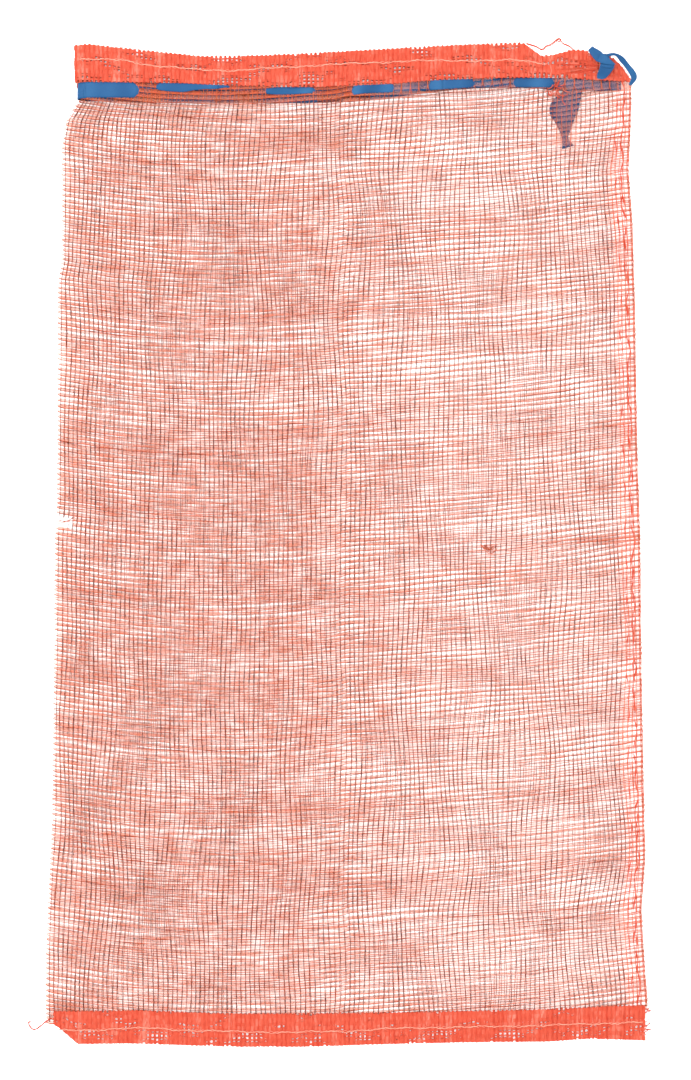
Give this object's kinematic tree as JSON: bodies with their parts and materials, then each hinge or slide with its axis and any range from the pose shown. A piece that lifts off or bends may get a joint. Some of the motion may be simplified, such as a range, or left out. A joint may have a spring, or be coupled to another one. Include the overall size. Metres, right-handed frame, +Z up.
{
  "type": "mesh produce bag",
  "caption": "Flat drawstring mesh produce bag of open-weave cloth with sewn hems, a folded and a seamed side, and a flat tape knotted at the mouth.",
  "frame": {"origin": "on the resting face, at the middle of the width, 4 mm below the crease where the bag folds in half", "axes": "+Y along the bag's length towards the mouth, +X along its width towards the side seam, +Z up through its thickness"},
  "size_m": [0.529, 0.8424, 0.0146],
  "materials": {
    "mesh_cloth": "open leno weave of glossy flat polypropylene tape",
    "hem_cloth": "folded leno weave, dense and slightly glossy",
    "stitch_thread": "matte twisted thread",
    "drawstring_tape": "flat woven polypropylene tape with a satin shine"
  },
  "bodies": {
    "lower_half": {"lower_back_mesh": "mesh_cloth", "lower_front_mesh": "mesh_cloth", "bottom_front_taper": "mesh_cloth", "lower_left_fold": "mesh_cloth", "lower_right_seam": "mesh_cloth", "lower_side_seam_thread": "stitch_thread", "bottom_hem": "hem_cloth", "bottom_hem_thread": "stitch_thread", "bottom_thread_tail": "stitch_thread", "bottom_frayed_tuft": "hem_cloth"},
    "upper_half": {"upper_back_mesh": "mesh_cloth", "upper_front_mesh": "mesh_cloth", "mouth_front_corner": "mesh_cloth", "front_hem_corner": "hem_cloth", "upper_left_fold": "mesh_cloth", "mouth_left_fold": "mesh_cloth", "upper_right_seam": "mesh_cloth", "upper_side_seam_thread": "stitch_thread", "back_mouth_hem": "hem_cloth", "back_hem_thread": "stitch_thread", "drawstring_back_run": "drawstring_tape"},
    "mouth_lip": {"mouth_front_mesh": "mesh_cloth", "front_mouth_hem": "hem_cloth", "front_hem_thread": "stitch_thread", "hem_frayed_strand": "hem_cloth", "drawstring_front_run": "drawstring_tape", "drawstring_left_turn": "drawstring_tape", "drawstring_inner_tail": "drawstring_tape"},
    "drawstring_pull": {"drawstring_right_loop": "drawstring_tape", "drawstring_knot": "drawstring_tape", "drawstring_stub_end": "drawstring_tape", "drawstring_front_leg": "drawstring_tape"}
  },
  "joints": [
    {"name": "half_fold", "type": "hinge", "parent": "lower_half", "child": "upper_half", "pos_m": [0, 0.004, 0.0095], "axis": [1, 0, 0], "range_deg": [0, 165]},
    {"name": "mouth_open", "type": "hinge", "parent": "upper_half", "child": "mouth_lip", "pos_m": [0, 0.27, 0.0093], "axis": [1, 0, 0], "range_deg": [0, 20]},
    {"name": "drawstring_pull_out", "type": "slide", "parent": "upper_half", "child": "drawstring_pull", "axis": [1, 0, 0], "range_m": [0, 0.06]}
  ]
}
